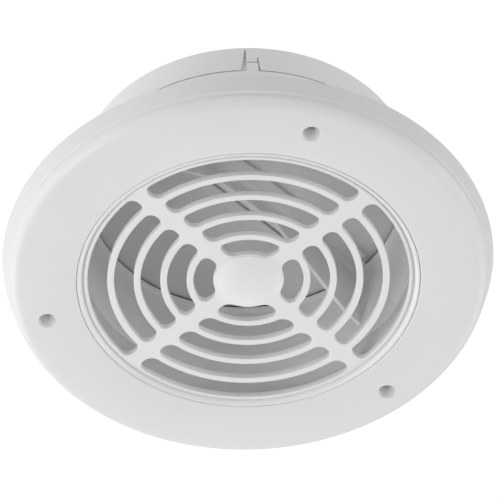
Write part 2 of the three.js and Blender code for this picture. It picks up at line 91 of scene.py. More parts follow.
MERGE_DISTANCE = 1e-7  # metres
MITRE_LIMIT = 0.35  # the least cosine of a mitred corner's half turn


def piece_from(name, verts, faces):
    """A mesh object from points in millimetres."""
    mesh = bpy.data.meshes.new(name)
    mesh.from_pydata([Vector(v) * MM for v in verts], [], faces)
    work = bmesh.new()
    work.from_mesh(mesh)
    bmesh.ops.remove_doubles(work, verts=work.verts, dist=MERGE_DISTANCE)
    bmesh.ops.recalc_face_normals(work, faces=work.faces)
    work.to_mesh(mesh)
    work.free()
    obj = bpy.data.objects.new(name, mesh)
    bpy.context.scene.collection.objects.link(obj)
    return obj


def rounded(corners, steps=5):
    """A closed outline with every corner (x, y, radius) rounded."""
    outline = []
    for i, (x, y, radius) in enumerate(corners):
        here = Vector((x, y))
        if not radius:
            outline.append(here)
            continue
        before = (Vector(corners[i - 1][:2]) - here).normalized()
        after = (Vector(corners[(i + 1) % len(corners)][:2]) - here).normalized()
        half = before.angle(after) / 2
        centre = here + (before + after).normalized() * (radius / math.sin(half))
        start = here + before * (radius / math.tan(half)) - centre
        end = here + after * (radius / math.tan(half)) - centre
        sweep = math.atan2(start.cross(end), start.dot(end))
        for k in range(steps + 1):
            outline.append(centre + Matrix.Rotation(sweep * k / steps, 2) @ start)
    return outline


def arc(centre, radius, start, end, steps):
    """Points on a circle, with angles in degrees from +X."""
    angles = [math.radians(start + (end - start) * k / steps) for k in range(steps + 1)]
    return [Vector((centre[0] + radius * math.cos(a), centre[1] + radius * math.sin(a))) for a in angles]


def curve_through(start, pull, end, steps):
    """Points of a quadratic curve."""
    a, b, c = Vector(start), Vector(pull), Vector(end)
    shares = [k / steps for k in range(steps + 1)]
    return [a * (1 - t) ** 2 + b * 2 * t * (1 - t) + c * t * t for t in shares]


def revolve(name, outline, steps=RING):
    """An outline of (radius, height) points turned about Z. It closes on itself unless it meets the axis."""
    verts, faces, rows = [], [], []
    for r, z in outline:
        if r < 1e-6:
            rows.append([len(verts)] * steps)
            verts.append((0, 0, z))
            continue
        rows.append(list(range(len(verts), len(verts) + steps)))
        for k in range(steps):
            a = 2 * math.pi * k / steps
            verts.append((r * math.cos(a), r * math.sin(a), z))
    pairs = list(zip(rows, rows[1:] + rows[:1]))
    for lower, upper in pairs:
        for k in range(steps):
            corner = [lower[k], lower[(k + 1) % steps], upper[(k + 1) % steps], upper[k]]
            ring = list(dict.fromkeys(corner))
            if len(ring) > 2:
                faces.append(ring)
    return piece_from(name, verts, faces)


def signed_area(loop):
    return sum(a.x * b.y - b.x * a.y for a, b in zip(loop, loop[1:] + loop[:1])) / 2


def inset(loop, distance):
    """The loop moved to its left by a distance, with mitred corners."""
    ring = []
    for i, here in enumerate(loop):
        before = (here - loop[i - 1]).normalized()
        after = (loop[(i + 1) % len(loop)] - here).normalized()
        normal = Vector((-before.y - after.y, before.x + after.x)).normalized()
        cosine = max(normal.dot(Vector((-after.y, after.x))), MITRE_LIMIT)
        ring.append(here + normal * (distance / cosine))
    return ring


def slab(name, outer, low, high, edge=0.0, holes=(), steps=3):
    """A flat outline with holes, raised from low to high. Its edges are rounded by a radius."""
    loops = [outer if signed_area(outer) > 0 else outer[::-1]]
    loops += [h if signed_area(h) < 0 else h[::-1] for h in holes]
    quarter = [math.pi / 2 * k / steps for k in range(steps + 1)] if edge else [math.pi / 2]
    levels = [(edge * (1 - math.sin(t)), low + edge * (1 - math.cos(t))) for t in quarter]
    levels += [(d, high - (z - low)) for d, z in reversed(levels)]
    verts, faces, caps = [], [], {}
    for loop in loops:
        rows = []
        for step, (distance, z) in enumerate(levels):
            rows.append(range(len(verts), len(verts) + len(loop)))
            ring = inset(loop, distance) if distance > 1e-9 else loop
            verts += [(p.x, p.y, z) for p in ring]
            if step in (0, len(levels) - 1):
                caps.setdefault(step, []).append(list(rows[-1]))
        for lower, upper in zip(rows, rows[1:]):
            for k in range(len(loop)):
                n = (k + 1) % len(loop)
                faces.append((lower[k], lower[n], upper[n], upper[k]))
    for rings in caps.values():
        flat = [index for ring in rings for index in ring]
        fill = tessellate_polygon([[Vector(verts[index]) for index in ring] for ring in rings])
        faces += [tuple(flat[corner] for corner in triangle) for triangle in fill]
    return piece_from(name, verts, faces)


def block(name, low, high, edge=0.3, corner=0.0):
    """A box between two corners, with rounded edges."""
    x0, y0, z0 = low
    x1, y1, z1 = high
    outline = [(x0, y0, corner), (x1, y0, corner), (x1, y1, corner), (x0, y1, corner)]
    return slab(name, rounded(outline, 3), z0, z1, edge, steps=2)


def tube(name, path, radius, steps=12):
    """A round wire along a path, with domed ends."""
    points = [Vector(p) for p in path]
    verts, faces = [], []
    side = None
    count = len(points)
    for i, here in enumerate(points):
        ahead = (points[min(i + 1, count - 1)] - points[max(i - 1, 0)]).normalized()
        if side is None:
            side = ahead.orthogonal().normalized()
        side = (side - ahead * side.dot(ahead)).normalized()
        other = ahead.cross(side)
        for k in range(steps):
            a = 2 * math.pi * k / steps
            verts.append(here + (side * math.cos(a) + other * math.sin(a)) * radius)
    for i in range(count - 1):
        for k in range(steps):
            n = (k + 1) % steps
            low, high = i * steps, (i + 1) * steps
            faces.append((low + k, low + n, high + n, high + k))
    faces.append(tuple(range(steps)))
    faces.append(tuple(range((count - 1) * steps, count * steps)))
    return piece_from(name, verts, faces)


def moved(obj, matrix):
    obj.data.transform(matrix)
    return obj


def turned(obj, azimuth):
    """The object turned about Z."""
    return moved(obj, Matrix.Rotation(math.radians(azimuth), 4, "Z"))


def shifted(obj, x=0, y=0, z=0):
    return moved(obj, Matrix.Translation(Vector((x, y, z)) * MM))


def out_at(obj, radius, azimuth):
    """The object moved out from the axis to a radius, at an azimuth."""
    return turned(shifted(obj, y=-radius), azimuth)


def settled(obj):
    """The object with its modifiers applied."""
    graph = bpy.context.evaluated_depsgraph_get()
    old = obj.data
    obj.data = bpy.data.meshes.new_from_object(obj.evaluated_get(graph))
    obj.modifiers.clear()
    bpy.data.meshes.remove(old)
    return obj


def combine(base, operation, tools):
    for tool in tools:
        step = base.modifiers.new("combine", "BOOLEAN")
        step.operation = operation
        step.solver = "MANIFOLD"
        step.object = tool
        settled(base)
        bpy.data.objects.remove(tool)
    return base


def join(base, *others):
    return combine(base, "UNION", others)


def cut(base, *tools):
    return combine(base, "DIFFERENCE", tools)


def finished(obj, name, material, body, slot, *nodes, crease=32):
    """Smooth shading, material, body and the CAD nodes that the piece stands for. The slot is not used."""
    obj.name = name
    obj.data.name = name
    obj.data.shade_smooth()
    obj.data.set_sharp_from_angle(angle=math.radians(crease))
    weighted = obj.modifiers.new("even_normals", "WEIGHTED_NORMAL")
    weighted.keep_sharp = True
    weighted.weight = 80
    obj.data.materials.clear()
    obj.data.materials.append(material)
    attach(obj, body)
    if nodes:
        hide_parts(*nodes)
    return obj


# ---------------------------------------------------------------- materials


def material_base(name, color, roughness, metallic=0.0):
    material = bpy.data.materials.new(name)
    material.use_nodes = True
    tree = material.node_tree
    shader = tree.nodes["Principled BSDF"]
    shader.inputs["Base Color"].default_value = (*color, 1)
    shader.inputs["Roughness"].default_value = roughness
    shader.inputs["Metallic"].default_value = metallic
    return material, tree, shader


def noise(tree, scale, detail=3.0, stretch=(1, 1, 1)):
    """Noise in the piece's own coordinates. Scale is features per metre."""
    place = tree.nodes.new("ShaderNodeTexCoord")
    mapping = tree.nodes.new("ShaderNodeMapping")
    mapping.inputs["Scale"].default_value = stretch
    texture = tree.nodes.new("ShaderNodeTexNoise")
    texture.inputs["Scale"].default_value = scale
    texture.inputs["Detail"].default_value = detail
    tree.links.new(place.outputs["Object"], mapping.inputs["Vector"])
    tree.links.new(mapping.outputs["Vector"], texture.inputs["Vector"])
    return texture.outputs["Fac"]


def spread(tree, value, low, high):
    """The value from 0.3 to 0.7 mapped to low to high."""
    ramp = tree.nodes.new("ShaderNodeMapRange")
    ramp.inputs["From Min"].default_value = 0.3
    ramp.inputs["From Max"].default_value = 0.7
    ramp.inputs["To Min"].default_value = low
    ramp.inputs["To Max"].default_value = high
    tree.links.new(value, ramp.inputs["Value"])
    return ramp.outputs["Result"]


def tint(tree, shader, value, dark, light):
    """A base colour between two tones."""
    mix = tree.nodes.new("ShaderNodeMix")
    mix.data_type = "RGBA"
    mix.inputs["A"].default_value = (*dark, 1)
    mix.inputs["B"].default_value = (*light, 1)
    tree.links.new(value, mix.inputs["Factor"])
    tree.links.new(mix.outputs["Result"], shader.inputs["Base Color"])


def bump(tree, shader, heights, distance, strength):
    """Surface relief from one or two noises, stacked."""
    before = None
    for height in heights:
        node = tree.nodes.new("ShaderNodeBump")
        node.inputs["Distance"].default_value = distance
        node.inputs["Strength"].default_value = strength
        tree.links.new(height, node.inputs["Height"])
        if before:
            tree.links.new(before, node.inputs["Normal"])
        before = node.outputs["Normal"]
    tree.links.new(before, shader.inputs["Normal"])


TONE_SCALE = 22  # scales are features per metre
FLOW_SCALE = 130
PLASTIC_IOR = 1.5
PLASTIC_TONES = (0.985, 1.012)
CELL_SCALE = 1400
LUMP_SCALE = 260
LINE_SCALE = 900
CLOUD_SCALE = 160


def plastic(name, color, roughness, grain=2600, relief=0.12):
    """Moulded plastic: a fine spark-eroded grain, slow changes of tone and gloss, and a faint flow."""
    material, tree, shader = material_base(name, color, roughness)
    slow = noise(tree, TONE_SCALE, 4)
    fine = noise(tree, grain, 2)
    flow = noise(tree, FLOW_SCALE, 3, (1, 1, 0.35))
    dark = tuple(c * PLASTIC_TONES[0] for c in color)
    light = tuple(min(c * PLASTIC_TONES[1], 1) for c in color)
    tint(tree, shader, spread(tree, slow, 0, 1), dark, light)
    gloss = spread(tree, flow, roughness - 0.035, roughness + 0.045)
    tree.links.new(gloss, shader.inputs["Roughness"])
    bump(tree, shader, [fine, flow], distance=0.00003, strength=relief)
    shader.inputs["IOR"].default_value = PLASTIC_IOR
    return material


def foam(name, color):
    """Closed-cell foam: matt, with small cells over a coarser unevenness."""
    material, tree, shader = material_base(name, color, 0.92)
    place = tree.nodes.new("ShaderNodeTexCoord")
    cells = tree.nodes.new("ShaderNodeTexVoronoi")
    cells.inputs["Scale"].default_value = CELL_SCALE
    tree.links.new(place.outputs["Object"], cells.inputs["Vector"])
    coarse = noise(tree, LUMP_SCALE, 4)
    tint(tree, shader, cells.outputs["Distance"], tuple(c * 0.8 for c in color), color)
    bump(tree, shader, [cells.outputs["Distance"], coarse], distance=0.0002, strength=0.55)
    return material


def metal(name, color, roughness, along):
    """Drawn or plated steel, with fine lines along the piece."""
    material, tree, shader = material_base(name, color, roughness, 1.0)
    lines = noise(tree, LINE_SCALE, 3, along)
    cloud = noise(tree, CLOUD_SCALE, 4)
    tint(tree, shader, spread(tree, cloud, 0, 1), tuple(c * 0.9 for c in color), color)
    tree.links.new(spread(tree, lines, roughness - 0.07, roughness + 0.1), shader.inputs["Roughness"])
    bump(tree, shader, [lines], distance=0.00002, strength=0.3)
    return material


# The face and the collar are one white plastic. The face's white is set a little darker, as painted shade,
# and the collar's brighter, as painted light on its outside and inner walls.
face_white = plastic("face_white", (0.76, 0.76, 0.763), 0.44)
grille_white = plastic("grille_white", (0.80, 0.80, 0.803), 0.38)
collar_white = plastic("collar_white", (0.90, 0.90, 0.903), 0.46)
leaf_white = plastic("leaf_white", (0.75, 0.75, 0.753), 0.5, 1900, 0.2)
bush_plastic = plastic("bush_plastic", (0.72, 0.70, 0.65), 0.4)
pale_foam = foam("pale_foam", (0.62, 0.62, 0.61))
# Near-black foam: painted shade, standing in for the shadow gap along each leaf's edge.
painted_shade_foam = foam("painted_shade_foam", (0.07, 0.07, 0.072))
bright_steel = metal("bright_steel", (0.74, 0.75, 0.76), 0.26, (0.05, 1, 1))
zinc_steel = metal("zinc_steel", (0.7, 0.71, 0.72), 0.3, (1, 1, 0.2))

# ---------------------------------------------------------------- face flange

FLANGE_R = 105.5
RIM_WALL = 2.4
TREAD = (103.4, -7.35)  # the sloping rim ends in a small tread
CREASE = (102.9, -8.1)  # the crease between that tread and the shoulder
FACE_EDGE = (97.5, -13.2)
CROWN_PULL = (86.0, -14.9)
SHOULDER = (102.75, -8.9)
SHOULDER_PULL = (102.7, -10.0)
SHOULDER_CREST = (101.6, -11.2)
SHOULDER_TURN = (100.0, -12.9)
OPENING_R = 73.6
OPENING_Z = -13.2
LEDGE_Z = -8.3
NECK_IN_R = 71.0
NECK_OUT_R = 72.4
NECK_TOP_Z = 3.0
SEAT_WALL = 2.3
FACE_BACK_Z = -11.5

HOLE_AZIMUTHS = (15, 135, 255)
HOLE_CIRCLE_R = 88.7
HOLE_R = 2.2
SINK_R = 4.1
SINK_DEPTH = 5.5
HOLE_FACE_Z = -14.1
PILLAR_R = 4.4
WEB_HALF_THICK = 0.6
WEB_HALF = 5.8
WEB_TOP_Z = -4.5

SCREW_AZIMUTHS = (60, 150, 240, 330)
SCREW_CIRCLE_R = 78.8
SCREW_BOSS_R = 3.7
SCREW_HOLE_R = 1.7
FOOT_LOW_Z = -4.7
FOOT_TOP_Z = -2.7
FOOT_R = 83.4
GAP = 0.3
RIM_OUT_R = OPENING_R - 0.14  # the grille's edge
NIB_AZIMUTHS = (0, 90, 180, 270)
NIB_HALF_ANGLE = 4
NIB_DEPTH = 0.6
NIB_Z = (-10.9, -9.9)


def flange_outline():
    """Section of the flange, from the rim's back edge over the face to the neck and back."""
    lip = 0.85
    lip_z = OPENING_Z - 0.08
    outline = rounded([
        (FLANGE_R - RIM_WALL, 0, 0),
        (FLANGE_R, 0, 0.35),
        (*TREAD, 1.2),
        (*CREASE, 0.7),
        (*SHOULDER, 0),
    ])[:-1]
    outline += curve_through(SHOULDER, SHOULDER_PULL, SHOULDER_CREST, 8)
    outline += curve_through(SHOULDER_CREST, SHOULDER_TURN, FACE_EDGE, 10)[1:]
    outline += curve_through(FACE_EDGE, CROWN_PULL, (OPENING_R + lip, lip_z), 26)[1:]
    outline += arc((OPENING_R + lip, lip_z + lip), lip, 270, 180, 6)[1:]
    outline += rounded([
        (OPENING_R, LEDGE_Z, 0.3),
        (NECK_IN_R, LEDGE_Z, 0.3),
        (NECK_IN_R, NECK_TOP_Z, 0.25),
        (NECK_OUT_R, NECK_TOP_Z, 0.25),
        (NECK_OUT_R, LEDGE_Z + SEAT_WALL, 0.4),
        (OPENING_R + SEAT_WALL, LEDGE_Z + SEAT_WALL, 0.5),
        (OPENING_R + SEAT_WALL, FACE_BACK_Z, 0.5),
        (FACE_EDGE[0] - 1.5, FACE_BACK_Z + 0.3, 2.0),
        (CREASE[0] - RIM_WALL, CREASE[1] + 0.4, 0.8),
        (FLANGE_R - RIM_WALL, 0, 0),
    ])[:-1]
    return outline


def post(name, outline, steps=48):
    """A small turned shape that stands on Z."""
    return revolve(name, outline, steps)


def peg(name, radius, low, high, soft=0.0):
    """A round peg on Z, with its top edge rounded."""
    return post(name, rounded([(0, low, 0), (radius, low, 0), (radius, high, soft), (0, high, 0)]))


def countersink():
    """The cutter for a fixing hole: bore, cone and a softened mouth."""
    soft = 0.2
    clear_r = SINK_R + 1.6
    mouth = HOLE_FACE_Z
    outer, inner = (SINK_R + soft * 1.4, mouth - 0.03), (SINK_R - soft, mouth + 2 * soft)
    outline = [Vector((0, mouth - 2)), Vector((clear_r, mouth - 2)), Vector((clear_r, mouth - 0.25))]
    outline += curve_through(outer, (SINK_R, mouth), inner, 6)
    outline += [Vector((HOLE_R + 0.05, mouth + SINK_DEPTH)), Vector((HOLE_R, mouth + SINK_DEPTH + 0.1))]
    outline += [Vector((HOLE_R, 1)), Vector((0, 1))]
    return post("cutter", outline, 64)


def nib(clearance):
    """A nib on the grille's edge, or the pocket in the flange that it snaps into."""
    half = NIB_HALF_ANGLE + math.degrees(clearance / RIM_OUT_R)
    outline = arc((0, 0), RIM_OUT_R + NIB_DEPTH + clearance, -90 - half, -90 + half, 8)
    outline += arc((0, 0), RIM_OUT_R - 1, -90 + half, -90 - half, 8)
    return slab("nib", outline, NIB_Z[0] - clearance, NIB_Z[1] + clearance, 0.1)


def flange():
    body = revolve("flange", flange_outline())
    root_z = FACE_BACK_Z - 1
    for azimuth in HOLE_AZIMUTHS:
        pillar = peg("pillar", PILLAR_R, root_z, -GAP, 0.4)
        join(body, out_at(pillar, HOLE_CIRCLE_R, azimuth))
        for side in (-1, 1):
            low = (-WEB_HALF_THICK, -WEB_HALF, root_z)
            web = block("web", low, (WEB_HALF_THICK, WEB_HALF, WEB_TOP_Z), 0.15)
            turned(web, side * 45)
            join(body, out_at(web, HOLE_CIRCLE_R, azimuth))
    for azimuth in SCREW_AZIMUTHS:
        boss = peg("boss", SCREW_BOSS_R, root_z, FOOT_LOW_Z - GAP, 0.3)
        join(body, out_at(boss, SCREW_CIRCLE_R, azimuth))
    for azimuth in HOLE_AZIMUTHS:
        cut(body, out_at(countersink(), HOLE_CIRCLE_R, azimuth))
    for azimuth in SCREW_AZIMUTHS:
        pilot = peg("pilot", SCREW_HOLE_R, FACE_BACK_Z + 0.5, 0)
        cut(body, out_at(pilot, SCREW_CIRCLE_R, azimuth))
    for azimuth in NIB_AZIMUTHS:
        cut(body, turned(nib(GAP), azimuth))
    return finished(body, "flange_moulding", face_white, "housing", "face_white", "face_flange")


flange()

# ---------------------------------------------------------------- grille

GRILLE_FRONT_Z = -11.8
GRILLE_THICK = 3.1
RIM_CREST_Z = -13.1
VALLEY = (70.5, -10.85)  # the low line between the slots and the crest
HUB_R = 15.1
HUB_RISE = 3.8
HUB_POWER = 2.6  # the dome falls with this power of the radius
SLOT_PITCH = 11.32
BAR_WIDTH = 2.85
SLOT_RINGS = 5
SLOT_EDGE_R = 68.9
SPOKE_WIDTH = 6.4
SLOT_CORNER_R = 3.8
SPOKES = 4
BAR_EDGE = 0.42
CORNER_PULL = 0.72  # a conic of this weight is close to a true round


def slot_outline(inner, outer):
    """A slot between two spokes, in plan, centred on azimuth 0."""
    half = SPOKE_WIDTH / 2
    reach = math.pi / SPOKES

    def at(r, azimuth):
        return Vector((r * math.sin(azimuth), -r * math.cos(azimuth)))

    def end(r):
        return reach - math.asin(half / r)

    def sweep(r, start, stop):
        steps = max(6, round(r * abs(stop - start) / 1.6))
        return [at(r, start + (stop - start) * k / steps) for k in range(steps + 1)]

    def corner(r, side, outward):
        sharp = at(r, side * end(r))
        on_arc = at(r, side * (end(r) - SLOT_CORNER_R / r))
        in_r = r - SLOT_CORNER_R if outward else r + SLOT_CORNER_R
        on_end = at(in_r, side * end(in_r))
        points = []
        steps = 8
        for k in range(steps + 1):
            t = k / steps
            weights = ((1 - t) ** 2, 2 * t * (1 - t) * CORNER_PULL, t * t)
            total = sum(weights)
            points.append((on_arc * weights[0] + sharp * weights[1] + on_end * weights[2]) / total)
        return points

    far = end(outer) - SLOT_CORNER_R / outer
    near = end(inner) - SLOT_CORNER_R / inner
    return (
        sweep(outer, -far, far)
        + corner(outer, 1, True)[1:]
        + corner(inner, 1, False)[::-1]
        + sweep(inner, near, -near)[1:]
        + corner(inner, -1, False)[1:]
        + corner(outer, -1, True)[::-1][:-1]
    )


def spun(outline, azimuth):
    turn = Matrix.Rotation(math.radians(azimuth), 2)
    return [turn @ p for p in outline]


def slots():
    """Every slot of the grille, hub ring first."""
    found = []
    for i in range(SLOT_RINGS):
        outer = SLOT_EDGE_R - SLOT_PITCH * (SLOT_RINGS - 1 - i)
        inner = HUB_R if i == 0 else outer - SLOT_PITCH + BAR_WIDTH
        shape = slot_outline(inner, outer)
        found += [spun(shape, 360 / SPOKES * k) for k in range(SPOKES)]
    return found


def hub_outline():
    """Section of the dome: a crown that runs out softly into the spokes."""
    foot_r = HUB_R * 1.16
    join_share = 0.86
    z0 = GRILLE_FRONT_Z
    points = [Vector((0, z0 + 2)), Vector((foot_r, z0 + 2)), Vector((foot_r, z0 + 0.02))]
    start_r = HUB_R * join_share
    height = HUB_RISE * (1 - join_share**HUB_POWER)
    slope = HUB_POWER * HUB_RISE * join_share ** (HUB_POWER - 1) / HUB_R
    bend_r = start_r + height / slope
    points += curve_through((foot_r, z0 + 0.01), (bend_r, z0), (start_r, z0 - height), 10)[1:]
    steps = 16
    for k in range(1, steps + 1):
        share = join_share * (1 - k / steps)
        points.append(Vector((HUB_R * share, z0 - HUB_RISE * (1 - share**HUB_POWER))))
    return points


def rim_outline():
    """Section of the bezel: a soft valley by the slots, then a raised crest at the edge."""
    back = LEDGE_Z - GAP
    z0 = GRILLE_FRONT_Z
    inner_r = SLOT_EDGE_R + 0.55
    flank = (VALLEY[0] + 1.1, z0 - 0.4)
    crest = (RIM_OUT_R - 0.75, RIM_CREST_Z)
    points = [Vector((inner_r, back)), Vector((inner_r, z0 + 0.02))]
    points += curve_through((SLOT_EDGE_R + 0.7, z0), (SLOT_EDGE_R + 1.1, z0), VALLEY, 6)
    points += curve_through(VALLEY, (VALLEY[0] + 0.7, VALLEY[1] + 0.1), flank, 6)[1:]
    points += curve_through(flank, (RIM_OUT_R - 1.1, RIM_CREST_Z), crest, 5)[1:]
    points += curve_through(crest, (RIM_OUT_R, RIM_CREST_Z), (RIM_OUT_R, RIM_CREST_Z + 0.7), 6)[1:]
    corners = [(RIM_OUT_R, RIM_CREST_Z + 0.75, 0), (RIM_OUT_R, back, 0.25), (inner_r, back, 0)]
    return points + rounded(corners)[1:-1]


def grille():
    disc = slab(
        "grille",
        arc((0, 0), SLOT_EDGE_R + 1.6, 0, 360, RING)[:-1],
        GRILLE_FRONT_Z,
        GRILLE_FRONT_Z + GRILLE_THICK,
        BAR_EDGE,
        holes=slots(),
        steps=4,
    )
    dome = revolve("dome", hub_outline(), 128)
    for shape in slots()[:SPOKES]:
        hole = shape[::-1] if signed_area(shape) > 0 else shape
        cut(dome, slab("clear", inset(hole, BAR_EDGE), GRILLE_FRONT_Z - 6, GRILLE_FRONT_Z + 4))
    join(disc, dome, revolve("bezel", rim_outline()))
    for azimuth in NIB_AZIMUTHS:
        join(disc, turned(nib(0), azimuth))
    return finished(disc, "grille_moulding", grille_white, "housing", "face_white", "grille")


grille()

# ---------------------------------------------------------------- duct collar

COLLAR_R = 74.0
COLLAR_IN_R = 70.8
SEAM_Z = 40.6
COLLAR_TOP_Z = 56.7
COLLAR_TOP_R = 72.7
SLEEVE_IN_R = 72.0
SLEEVE_TOP_IN_R = 71.1
SHOULDER_R = 71.7
SEAT_IN_R = 68.4
SEAT_LOW_Z = 43.0
SEAT_TOP_Z = 45.4
TONGUE_WIDTH = 5.2
TONGUE_TOP_Z = 45.8
SLIT_WIDTH = 0.9  # the right slit at the seam
SLIT_WIDE = 2.3  # the left slit at the seam
SLIT_NARROW = 0.45  # both slits at their tops
STEP_GAP = 0.7  # between the tongue's top and the finger
FINGER_LIP = 0.9  # the relief behind the finger's foot stops this far from the collar's side
RELIEF_RISE = 1.8
TONGUE_SET_BACK = 0.3  # the tongue stands this far inside the collar's side
SLANT = 0.5  # the right slit leans in by this much at its top
SEAM_GAP = 0.6
LEFT_SLIT_TOP_Z = 55.3
RIGHT_SLIT_TOP_Z = 49.6
CATCH_AZIMUTHS = (0, 90, 180, 270)
STOP_R = (70.1, 71.0)  # an upright stop backs each catch
STOP_HALF_WIDTH = 5.2
STOP_TOP_Z = 56.1
HINGE_TURN = 44  # the hinge line's turn from +X
BAR_HALF = 5.4
BAR_LOW_Z = 44.2
RIB_THICK = 1.8
RIB_LOW_Z = 38.8
RIB_HALF = 18.5
GUSSET_BEND = (61.5, 16.0)
GUSSET_FOOT_Z = 14.2
CRADLE_IN_X = 66.4
CRADLE_OUT_X = 70.9
CRADLE_HALF_Y = 4
CRADLE_TOP_Z = 52.5
ROD_Z = 49.3
BUSH_SEAT_R = 2.7


def barrel(name, outline, steps=40):
    """A turned shape along X at the rod's height, from (x, radius) points."""
    obj = revolve(name, [Vector((r, x)) for x, r in outline], steps)
    moved(obj, Matrix.Rotation(math.pi / 2, 4, "Y"))
    return shifted(obj, z=ROD_Z)


def plain_barrel(name, radius, start, end, soft=0.0, steps=3):
    """A round bar along X at the rod's height, with rounded ends."""
    corners = [(start, 0, 0), (start, radius, soft), (end, radius, soft), (end, 0, 0)]
    return barrel(name, rounded(corners, steps))


def spigot_outline():
    """Section of the spigot: foot, lower collar, shoulder and the shutter's seat."""
    lap = NECK_OUT_R + GAP
    return rounded([
        (lap, FOOT_LOW_Z, 0.2),
        (FOOT_R, FOOT_LOW_Z, 0.4),
        (FOOT_R, FOOT_TOP_Z, 0.4),
        (COLLAR_R, FOOT_TOP_Z, 0.8),
        (COLLAR_R, SEAM_Z - SEAM_GAP, 0.3),
        (SHOULDER_R, SEAM_Z - GAP, 0.2),
        (SHOULDER_R, SEAT_TOP_Z, 0.25),
        (SEAT_IN_R, SEAT_TOP_Z, 0.35),
        (SEAT_IN_R, SEAT_TOP_Z - 0.8, 0.3),
        (COLLAR_IN_R - 0.9, SEAT_LOW_Z - 0.5, 2),
        (COLLAR_IN_R, SEAM_Z - 3, 4),
        (COLLAR_IN_R, NECK_TOP_Z + GAP, 0.2),
        (lap, NECK_TOP_Z + GAP, 0.2),
    ])


def rib_plate():
    """The upright plate under the crossbar, with a gusset at each end."""
    end = COLLAR_IN_R + 0.5
    right = [
        (RIB_HALF, RIB_LOW_Z, 3),
        (*GUSSET_BEND, 5),
        (end, GUSSET_FOOT_Z, 0),
        (end, BAR_LOW_Z + 0.6, 0),
    ]
    left = [(-x, z, r) for x, z, r in reversed(right)]
    plate = slab("rib", rounded(right + left), -RIB_THICK / 2, RIB_THICK / 2, 0.3)
    return moved(plate, Matrix.Rotation(math.pi / 2, 4, "X"))


def crossbar():
    """The bar along the hinge line, with its rib and a cradle for the rod at each end."""
    end = COLLAR_IN_R + 0.4
    bar = block("bar", (-end, -BAR_HALF, BAR_LOW_Z), (end, BAR_HALF, SEAT_TOP_Z), 0.3)
    join(bar, rib_plate())
    low = (CRADLE_IN_X, -CRADLE_HALF_Y, SEAT_TOP_Z - 0.5)
    high = (CRADLE_OUT_X, CRADLE_HALF_Y, CRADLE_TOP_Z)
    for turn in (0, 180):
        join(bar, turned(block("cradle", low, high, 0.3, 1.0), turn))
    for turn in (0, 180):
        seat = plain_barrel("seat", BUSH_SEAT_R, CRADLE_IN_X - 1, CRADLE_OUT_X + 2)
        cut(bar, turned(seat, turn))
    return bar


def wall_piece(inner, outer, half_width, low, high):
    """A curved upright plate that follows the collar's wall, at azimuth 0."""
    half = math.degrees(half_width / outer)
    outline = arc((0, 0), outer, -90 - half, -90 + half, 12)
    outline += arc((0, 0), inner, -90 + half, -90 - half, 12)
    return slab("wall_piece", outline, low, high, 0.2)


def spigot():
    body = revolve("spigot", spigot_outline())
    tongue_r = (SHOULDER_R - 0.3, COLLAR_R - TONGUE_SET_BACK)
    for azimuth in CATCH_AZIMUTHS:
        tongue = wall_piece(*tongue_r, TONGUE_WIDTH / 2, SEAM_Z - 3, TONGUE_TOP_Z)
        stop = wall_piece(*STOP_R, STOP_HALF_WIDTH, SEAT_TOP_Z - 1, STOP_TOP_Z)
        join(body, turned(tongue, azimuth), turned(stop, azimuth))
    for azimuth in SCREW_AZIMUTHS:
        hole = peg("hole", SCREW_HOLE_R, FOOT_LOW_Z - 1, FOOT_TOP_Z + 1)
        cut(body, out_at(hole, SCREW_CIRCLE_R, azimuth))
    join(body, turned(crossbar(), HINGE_TURN))
    return finished(body, "spigot_moulding", collar_white, "housing", "collar_white", "spigot")


def upright(name, outline, near, far):
    """A plate from an (x, z) outline that stands across -Y between two distances."""
    plate = slab(name, [Vector(p) for p in outline], near, far)
    return moved(plate, Matrix.Rotation(math.pi / 2, 4, "X"))


def catch_windows():
    """The cuts round a catch finger in the sleeve.

    They are a slit on each side, the tongue's place below it and a relief behind its foot.
    """
    half = TONGUE_WIDTH / 2
    side = half + 0.1
    low = SEAM_Z - 1
    top = TONGUE_TOP_Z + STEP_GAP
    relief_top = top + RELIEF_RISE
    near, far = SLEEVE_IN_R - 2, COLLAR_R + 1
    left = [
        (-half - SLIT_WIDE, low),
        (-half, low),
        (-half, LEFT_SLIT_TOP_Z),
        (-half - SLIT_NARROW, LEFT_SLIT_TOP_Z),
    ]
    right = [
        (half, low),
        (half + SLIT_WIDTH, low),
        (half - SLANT + SLIT_NARROW, RIGHT_SLIT_TOP_Z),
        (half - SLANT, RIGHT_SLIT_TOP_Z),
    ]
    middle = [(-side, low), (side, low), (side, top), (-side, top)]
    relief = [(-side, low), (side, low), (side, relief_top), (-side, relief_top)]
    cutters = [upright("window", outline, near, far) for outline in (left, right, middle)]
    return [*cutters, upright("window", relief, near, COLLAR_R - FINGER_LIP)]


def duct_sleeve():
    """The upper, tapering collar, with its inside edge cut back at the seam."""
    outline = rounded([
        (SLEEVE_IN_R, SEAM_Z + 2.4, 0.3),
        (COLLAR_R - 0.45, SEAM_Z, 0.1),
        (COLLAR_R, SEAM_Z, 0.2),
        (COLLAR_TOP_R, COLLAR_TOP_Z, 0.5),
        (SLEEVE_TOP_IN_R, COLLAR_TOP_Z, 0.4),
    ])
    body = revolve("sleeve", outline)
    for azimuth in CATCH_AZIMUTHS:
        cut(body, *[turned(window, azimuth) for window in catch_windows()])
    return finished(body, "sleeve_moulding", collar_white, "housing", "collar_white", "duct_sleeve")


spigot()
duct_sleeve()

# ---------------------------------------------------------------- shutter

